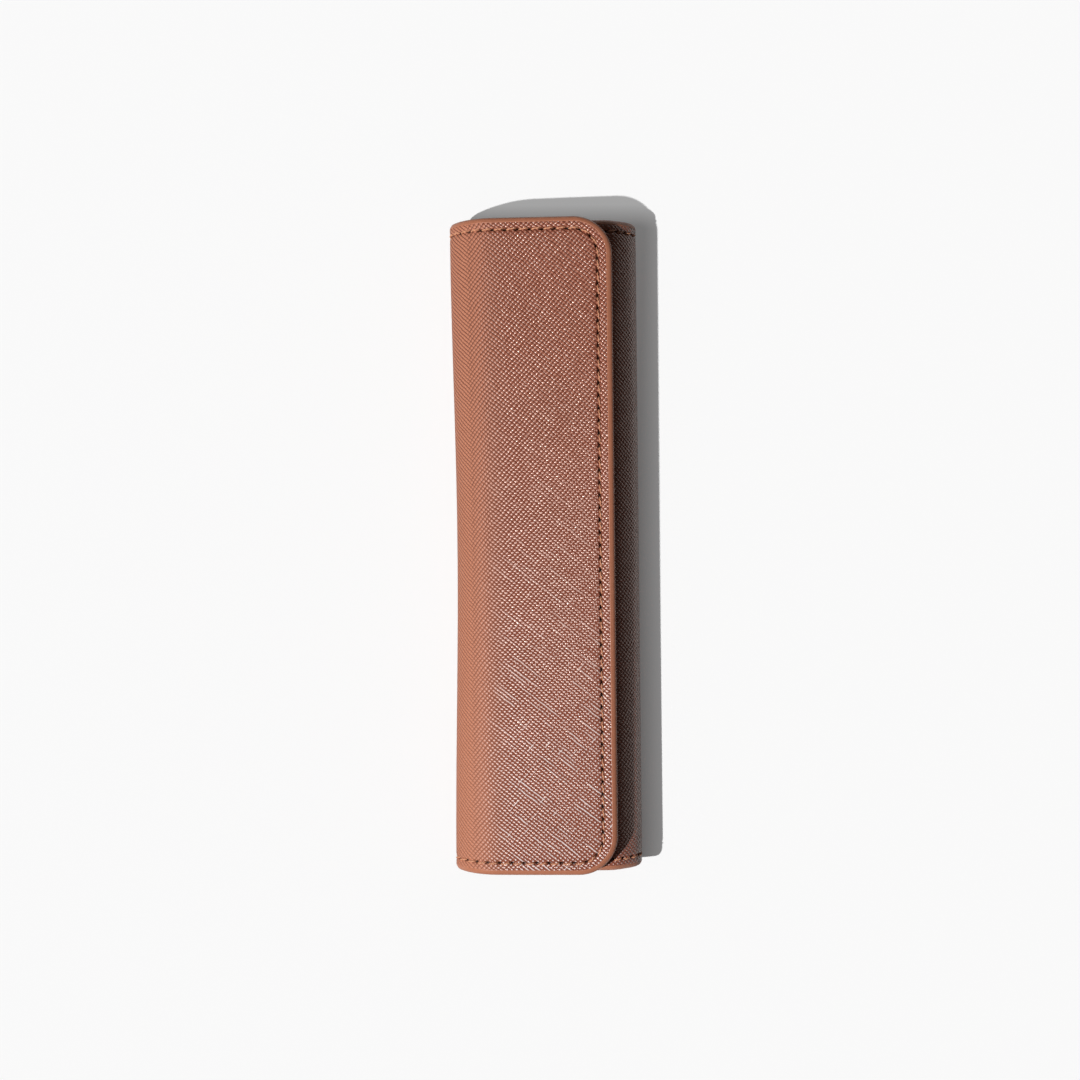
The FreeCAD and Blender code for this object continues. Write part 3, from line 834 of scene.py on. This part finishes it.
def leather_material():
    """Leather pressed with two sets of sharp grooves, which leave domes; painted shade in the grooves,
    painted highlights on the tops.
    """
    material, tree, shader = new_material("cross_hatch_leather")
    places = sheet_places(tree)
    s = dot(tree, places, (1, 0, 0))
    y = dot(tree, places, (0, 1, 0))
    stretch = attribute(tree, "stretch")
    falling = Ridges(tree, places, *FALLING_RIDGES)
    rising = Ridges(tree, places, *RISING_RIDGES)
    on_lines, on_dots = painted_glints(tree, s, y, stretch)
    falling_streaks = times(tree, falling.streaks(*FALLING_STREAKS), on_lines)
    rising_streaks = times(tree, rising.streaks(*RISING_STREAKS), on_lines)
    falling_shown, rising_shown = herringbone(tree, s)
    drops, grooves, line_glints = [], [], []
    for ridges, shown, along, crossing in (
        (falling, falling_shown, falling_streaks, rising_streaks),
        (rising, rising_shown, rising_streaks, falling_streaks),
    ):
        hollow = ridges.hollow()
        kept = remap(tree, crossing, 0, 1, 1, CROSSED_GROOVES)
        drops.append(times(tree, maths(tree, "POWER", hollow, 2.0), kept))
        marked = times(tree, remap(tree, hollow, GROOVE_START, 1, 0, 1, smooth=True), kept)
        grooves.append(times(tree, marked, shown))
        line_glints.append(times(tree, ridges.crests(), along))

    uneven = remap(tree, noise(tree, places, UNEVEN_SCALE), *NOISE_SPREAD, *UNEVEN_DEPTH)
    drop = times(tree, weigh(tree, *zip(drops, GROOVE_SHARES)), uneven)
    pores = times(tree, noise(tree, places, PORE_SCALE, detail=3.0), PORE_HEIGHT)
    relief = maths(tree, "SUBTRACT", pores, drop)

    cloudy = remap(tree, noise(tree, places, CLOUD_SCALE, detail=3.0), *NOISE_SPREAD, 0, 1)
    brown = mix(tree, cloudy, LEATHER_DARK, LEATHER_LIGHT)
    tan = mix(tree, stretch, brown, SPINE_TAN)
    # Painted shade: the grooves are darkened in colour, less towards the lower end.
    groove_shade_grade = remap(tree, y, PAINTED_LIGHT_START, PAINTED_LIGHT_END, *GROOVE_SHADE_GRADE)
    groove_shaded = mix(tree, times(tree, maths(tree, "MAXIMUM", *grooves), groove_shade_grade), tan, GROOVE_SHADE)
    # Painted highlight: pale colour along some crests and on the dome tops stands in for the lamp's
    # glints.
    lines = times(tree, maths(tree, "MAXIMUM", *line_glints), LINE_STRENGTH)
    tops = times(tree, times(tree, falling.crests(), rising.crests()), on_dots)
    glint_share = maths(tree, "MAXIMUM", lines, times(tree, tops, DOT_STRENGTH))
    pale = mix(tree, remap(tree, y, PAINTED_LIGHT_START, PAINTED_LIGHT_END, 0, 1), GLINT_TAN, GLINT_WHITE)
    glinted = mix(tree, glint_share, groove_shaded, pale)
    dress(tree, shader, {
        # painted shade in the needle holes
        "Base Color": mix(tree, attribute(tree, "pit"), glinted, NEEDLE_HOLE_SHADE),
        "Normal": bump(tree, relief, GRAIN_HEIGHT),
        "Roughness": remap(tree, stretch, 0, 1, FLAT_ROUGHNESS, SPINE_ROUGHNESS),
        "Specular IOR Level": LEATHER_SHINE,
        "Specular Tint": LEATHER_SHINE_COLOUR,
    })
    return material


PAINT_DARK = (0.46, 0.170, 0.093, 1)
PAINT_LIGHT = (0.53, 0.207, 0.120, 1)
PAINT_CLOUDS = 0.5
PAINT_SMEARS = 2.0
PAINT_RIPPLES = 1.2
PAINT_RIPPLE_HEIGHT = 0.03
PAINT_ROUGHNESS = (0.38, 0.5)
PAINT_SHINE = 0.35


def paint_material():
    """Edge paint that has dried a little unevenly."""
    material, tree, shader = new_material("edge_paint")
    places = sheet_places(tree)
    clouds = noise(tree, places, PAINT_CLOUDS, detail=3.0)
    ripples = noise(tree, places, PAINT_RIPPLES, detail=4.0)
    dress(tree, shader, {
        "Base Color": mix(tree, clouds, PAINT_DARK, PAINT_LIGHT),
        "Roughness": remap(tree, noise(tree, places, PAINT_SMEARS), *NOISE_SPREAD, *PAINT_ROUGHNESS),
        "Normal": bump(tree, ripples, PAINT_RIPPLE_HEIGHT),
        "Specular IOR Level": PAINT_SHINE,
    })
    return material


SUEDE_DARK = (0.19, 0.085, 0.05, 1)
SUEDE_LIGHT = (0.31, 0.155, 0.1, 1)
SUEDE_STROKED = (0.38, 0.21, 0.14, 1)
NAP_SCALES = (4.8, 1.9, 1.0)
NAP_HEIGHT = 0.08
STROKE_SCALE = 0.06
STROKE_SPREAD = (0.35, 0.65)
STROKE_SHARE = 0.3
SUEDE_ROUGHNESS = 0.95
SUEDE_SHINE = 0.15
SHEEN_WEIGHT = 0.35
SHEEN_ROUGHNESS = 0.5
SHEEN_COLOUR = (0.8, 0.55, 0.42, 1)


def lining_material():
    """Suede: a short nap that lies in strokes."""
    material, tree, shader = new_material("napped_lining")
    places = sheet_places(tree)
    nap_places = vector_maths(tree, "MULTIPLY", places, NAP_SCALES)
    nap = noise(tree, nap_places, 1.0, detail=4.0, roughness=0.65)
    stroked = remap(tree, noise(tree, places, STROKE_SCALE), *STROKE_SPREAD, 0, STROKE_SHARE)
    brown = mix(tree, nap, SUEDE_DARK, SUEDE_LIGHT)
    colour = mix(tree, stroked, brown, SUEDE_STROKED)
    dress(tree, shader, {
        # painted shade in the needle holes
        "Base Color": mix(tree, attribute(tree, "pit"), colour, NEEDLE_HOLE_SHADE),
        "Normal": bump(tree, nap, NAP_HEIGHT),
        "Roughness": SUEDE_ROUGHNESS,
        "Specular IOR Level": SUEDE_SHINE,
        "Sheen Weight": SHEEN_WEIGHT,
        "Sheen Roughness": SHEEN_ROUGHNESS,
        "Sheen Tint": SHEEN_COLOUR,
    })
    return material


ELASTIC_DARK = (0.035, 0.018, 0.012, 1)
ELASTIC_LIGHT = (0.125, 0.07, 0.045, 1)
WEFT_PITCH = 0.55
WEFT_SHARE = 0.3
SPECKLE_SCALE = 5.0
SPECKLE_SHARE = 0.4
WEAVE_SPREAD = (-0.2, 0.5)
WEAVE_HEIGHT = 0.08
ELASTIC_ROUGHNESS = (0.7, 0.85)


def elastic_material():
    """Ribbed webbing: each rib is bound by slanted weft threads."""
    material, tree, shader = new_material("woven_elastic")
    places = sheet_places(tree)
    weft = maths(tree, "COSINE", dot(tree, places, (2 * math.pi / WEFT_PITCH, math.pi / RIB_PITCH, 0)))
    speckle = noise(tree, places, SPECKLE_SCALE, detail=3.0)
    weave = weigh(tree, (weft, WEFT_SHARE), (speckle, SPECKLE_SHARE))
    dress(tree, shader, {
        "Base Color": mix(tree, remap(tree, weave, *WEAVE_SPREAD, 0, 1), ELASTIC_DARK, ELASTIC_LIGHT),
        "Normal": bump(tree, weave, WEAVE_HEIGHT),
        "Roughness": remap(tree, speckle, *NOISE_SPREAD, *ELASTIC_ROUGHNESS),
    })
    return material


ROUGHNESS_SWING = 0.08


def plain_material(name, dark, light, grain, depth, roughness, metallic=0.0):
    """Material with a fine uneven grain, for pieces without a map of the sheet."""
    material, tree, shader = new_material(name)
    speckle = noise(tree, object_places(tree), grain, detail=4.0, roughness=0.6)
    ends = (roughness - ROUGHNESS_SWING, roughness + ROUGHNESS_SWING)
    dress(tree, shader, {
        "Base Color": mix(tree, speckle, dark, light),
        "Roughness": remap(tree, speckle, *NOISE_SPREAD, *ends),
        "Normal": bump(tree, speckle, depth),
        "Metallic": metallic,
    })
    return material


THREAD_DARK = (0.58, 0.240, 0.125, 1)
THREAD_LIGHT = (0.80, 0.400, 0.230, 1)
BOARD_DARK = (0.38, 0.30, 0.21, 1)
BOARD_LIGHT = (0.52, 0.42, 0.31, 1)
NICKEL_DARK = (0.58, 0.57, 0.55, 1)
NICKEL_LIGHT = (0.66, 0.65, 0.62, 1)

leather = leather_material()
paint = paint_material()
suede = lining_material()
elastic = elastic_material()
fibre = plain_material("twisted_thread", THREAD_DARK, THREAD_LIGHT, grain=3.0, depth=0.05, roughness=0.6)
board = plain_material("fibre_board", BOARD_DARK, BOARD_LIGHT, grain=1.5, depth=0.05, roughness=0.85)
nickel = plain_material(
    "nickel_plate", NICKEL_DARK, NICKEL_LIGHT, grain=0.8, depth=0.01, roughness=0.25, metallic=1.0
)

# Leather, lining, painted edge and thread of each zone
REPLACED_BODIES = {"sleeve": ["sleeve"], "spine": ["lower_spine", "upper_spine"], "flap": ["flap"]}
REPLACED_SEAMS = {
    "sleeve": ["sleeve_end_seams", "front_edge_seam"],
    "spine": ["lower_spine_seams", "upper_spine_seams"],
    "flap": ["flap_seam"],
}
meeting_turn = math.acos((EDGE_RADIUS - COVER_THICKNESS) / (EDGE_RADIUS - FILM_THICKNESS))
cover_turns = np.linspace(meeting_turn, 0, COVER_EDGE_POINTS)
lining_turns = np.linspace(meeting_turn, np.pi, LINING_EDGE_POINTS)
layers = {}
for zone in ZONES:
    shell = build_layer(zone, LEATHER_STEPS, cover_turns, COVER_THICKNESS, 0.0, LEATHER_BACK_STRIDE)
    cover = shell.piece(f"{zone.name}_leather", leather, "cover_leather")
    bend_with(cover, zone, COVER_THICKNESS / 2)
    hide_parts(*[f"{body}_cover" for body in REPLACED_BODIES[zone.name]])
    shell = build_layer(
        zone, LINING_STEPS, lining_turns, COVER_THICKNESS, SHEET_THICKNESS, LINING_BACK_STRIDE
    )
    inner = shell.piece(f"{zone.name}_suede", suede, "lining")
    bend_with(inner, zone, (COVER_THICKNESS + SHEET_THICKNESS) / 2)
    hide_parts(*[f"{body}_lining" for body in REPLACED_BODIES[zone.name]])
    film = build_paint(zone, f"{zone.name}_edge_paint", paint)
    bend_with(film, zone, SHEET_THICKNESS / 2)
    faces_lines, faces_normals = zip(*[seam_lines(zone, under) for under in (False, True)])
    stitches = build_thread(
        f"{zone.name}_thread", np.concatenate(faces_lines), np.concatenate(faces_normals), fibre
    )
    bend_with(stitches, zone, SHEET_THICKNESS / 2)
    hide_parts(*REPLACED_SEAMS[zone.name])
    layers[zone.name] = [cover, inner, film, stitches]

# Layers of each end of the sheet, looked up again by zone
for zone, extra in ((ZONES[0], []), (ZONES[2], layers["spine"])):
    cover, inner, film, stitches = layers[zone.name]

# Elastic pen loop, sewn to the lining of the back
loop = build_loop("pen_loop_elastic", elastic)
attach(loop, "sleeve")
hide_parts("pen_loop")
tacks = build_thread("pen_loop_thread", *tack_lines(), fibre)
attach(tacks, "sleeve")
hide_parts("pen_loop_stitches")

# Boards and magnets keep their solids
MAGNETS = ["front_magnet_top", "front_magnet_bottom", "flap_magnet_top", "flap_magnet_bottom"]
for material, nodes in ((board, ["front_board", "flap_board", "back_board"]), (nickel, MAGNETS)):
    for node in nodes:
        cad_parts[node].data.materials.clear()
        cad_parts[node].data.materials.append(material)

# Floor, light and camera, in metres: a small lamp on the left, a dim studio and a pale floor
LAMP_PLACE = np.array((-247.0, -114.0, 374.0)) * MM
LAMP_RADIUS = 4.0 * MM
LAMP_LEVEL = 1.1
AMBIENT = 0.05
STUDIO_WALL_RISE = 0.06
FLOOR_SIZE = 6000.0 * MM
FLOOR_DROP = 0.1 * MM
FLOOR_WHITE = 0.95
FLOOR_GLOW = (0.093, 0.343)
FLOOR_GLOW_REACH = 14.0 * MM
FLOOR_LENGTH_WEIGHT = 2
FLOOR_MOST_SHADE = 0.93
FLOOR_BOUNCE = 0.15
FLOOR_ROUGHNESS = 0.9
FLOOR_SHINE = 0.1
CAMERA_PLACE = np.array((-1.73, 1.48, 350.0)) * MM
CAMERA_ROLL = math.radians(0.6)
CAMERA_NEAR = 10.0 * MM
SENSOR_WIDTH = 36.0
IMAGE_SIZE = 1080
FOCAL_PIXELS = 1331.5
WHITE = (1, 1, 1, 1)


def seen_rays(tree):
    """Two switches: 1 for rays from the camera, and 1 for those or for what shines or shows through."""
    rays = put(tree, "ShaderNodeLightPath").outputs
    shown = maths(tree, "MAXIMUM", rays["Is Glossy Ray"], rays["Is Transmission Ray"])
    return rays["Is Camera Ray"], maths(tree, "MAXIMUM", rays["Is Camera Ray"], shown)


def floor_distance(tree, position):
    """Distance of a place on the floor from the sleeve's outline, which counts for more along the pen."""
    parts = put(tree, "ShaderNodeSeparateXYZ", {0: position}).outputs
    squares = []
    for part, side, weight in (
        (parts["X"], SLEEVE_WIDTH, 1),
        (parts["Y"], SLEEVE_LENGTH, FLOOR_LENGTH_WEIGHT),
    ):
        outside = maths(tree, "SUBTRACT", maths(tree, "ABSOLUTE", part), side / 2 * MM)
        beyond = times(tree, maths(tree, "MAXIMUM", outside, 0.0), weight)
        squares.append(maths(tree, "POWER", beyond, 2.0))
    return maths(tree, "SQRT", maths(tree, "ADD", *squares))


def floor_material():
    """Paper that is darker near the lamp and glows a little, so that it renders evenly.

    It glows less beside the sleeve, which hides the studio's light there.
    """
    material, tree, shader = new_material("floor_paper")
    position = put(tree, "ShaderNodeNewGeometry").outputs["Position"]
    lamp_distance = vector_maths(tree, "DISTANCE", position, tuple(LAMP_PLACE), "Value")
    lamp_light = maths(tree, "DIVIDE", LAMP_LEVEL * LAMP_PLACE[2], lamp_distance)
    light = maths(tree, "ADD", lamp_light, AMBIENT)
    wanted_glow = remap(tree, floor_distance(tree, position), 0, FLOOR_GLOW_REACH, *FLOOR_GLOW)
    shade = maths(tree, "DIVIDE", maths(tree, "SUBTRACT", FLOOR_WHITE, wanted_glow), light)
    shade = maths(tree, "MINIMUM", shade, FLOOR_MOST_SHADE)
    glow = maths(tree, "SUBTRACT", FLOOR_WHITE, times(tree, shade, light))
    _, seen = seen_rays(tree)
    shade = times(tree, shade, remap(tree, seen, 0, 1, FLOOR_BOUNCE, 1))
    dress(tree, shader, {
        "Base Color": vector(tree, shade, shade, shade),
        "Emission Color": WHITE,
        "Emission Strength": times(tree, glow, seen),
        "Roughness": FLOOR_ROUGHNESS,
        "Specular IOR Level": FLOOR_SHINE,
    })
    return material


def make_floor():
    corners = np.array([(-1, -1, 0), (1, -1, 0), (1, 1, 0), (-1, 1, 0)]) * FLOOR_SIZE / 2
    mesh = bpy.data.meshes.new("floor")
    mesh.from_pydata(corners.tolist(), [], [(0, 1, 2, 3)])
    mesh.materials.append(floor_material())
    made = add_object("floor", mesh)
    made.location.z = -FLOOR_DROP
    return made


def make_lamp():
    """Small lamp that lights what faces it alike at any distance."""
    light = bpy.data.lights.new("key", "POINT")
    light.energy = 4 * math.pi**2 * LAMP_LEVEL
    light.shadow_soft_size = LAMP_RADIUS
    light.use_nodes = True
    tree = light.node_tree
    falloff = put(tree, "ShaderNodeLightFalloff", {"Strength": 1.0})
    dress(tree, tree.nodes["Emission"], {"Strength": falloff.outputs["Constant"]})
    add_object("key", light).location = LAMP_PLACE


def make_studio():
    """Studio with white walls and a dim ceiling."""
    world = bpy.data.worlds.new("studio")
    world.use_nodes = True
    bpy.context.scene.world = world
    tree = world.node_tree
    direction = put(tree, "ShaderNodeTexCoord").outputs["Generated"]
    wall = remap(tree, dot(tree, direction, (0, 0, 1)), 0.0, STUDIO_WALL_RISE, 1.0, AMBIENT)
    direct, seen = seen_rays(tree)
    strength = remap(tree, direct, 0, 1, remap(tree, seen, 0, 1, AMBIENT, wall), FLOOR_WHITE)
    dress(tree, tree.nodes["Background"], {"Color": WHITE, "Strength": strength})


def make_camera():
    """Camera straight above, turned a little."""
    camera_data = bpy.data.cameras.new("camera")
    camera_data.sensor_width = SENSOR_WIDTH
    camera_data.lens = SENSOR_WIDTH * FOCAL_PIXELS / IMAGE_SIZE
    camera_data.clip_start = CAMERA_NEAR
    camera = add_object("camera", camera_data)
    camera.location = CAMERA_PLACE
    camera.rotation_euler = (0, 0, -CAMERA_ROLL)
    bpy.context.scene.camera = camera


floor = make_floor()
make_lamp()
make_studio()
make_camera()
bpy.context.scene.view_settings.view_transform = "Standard"
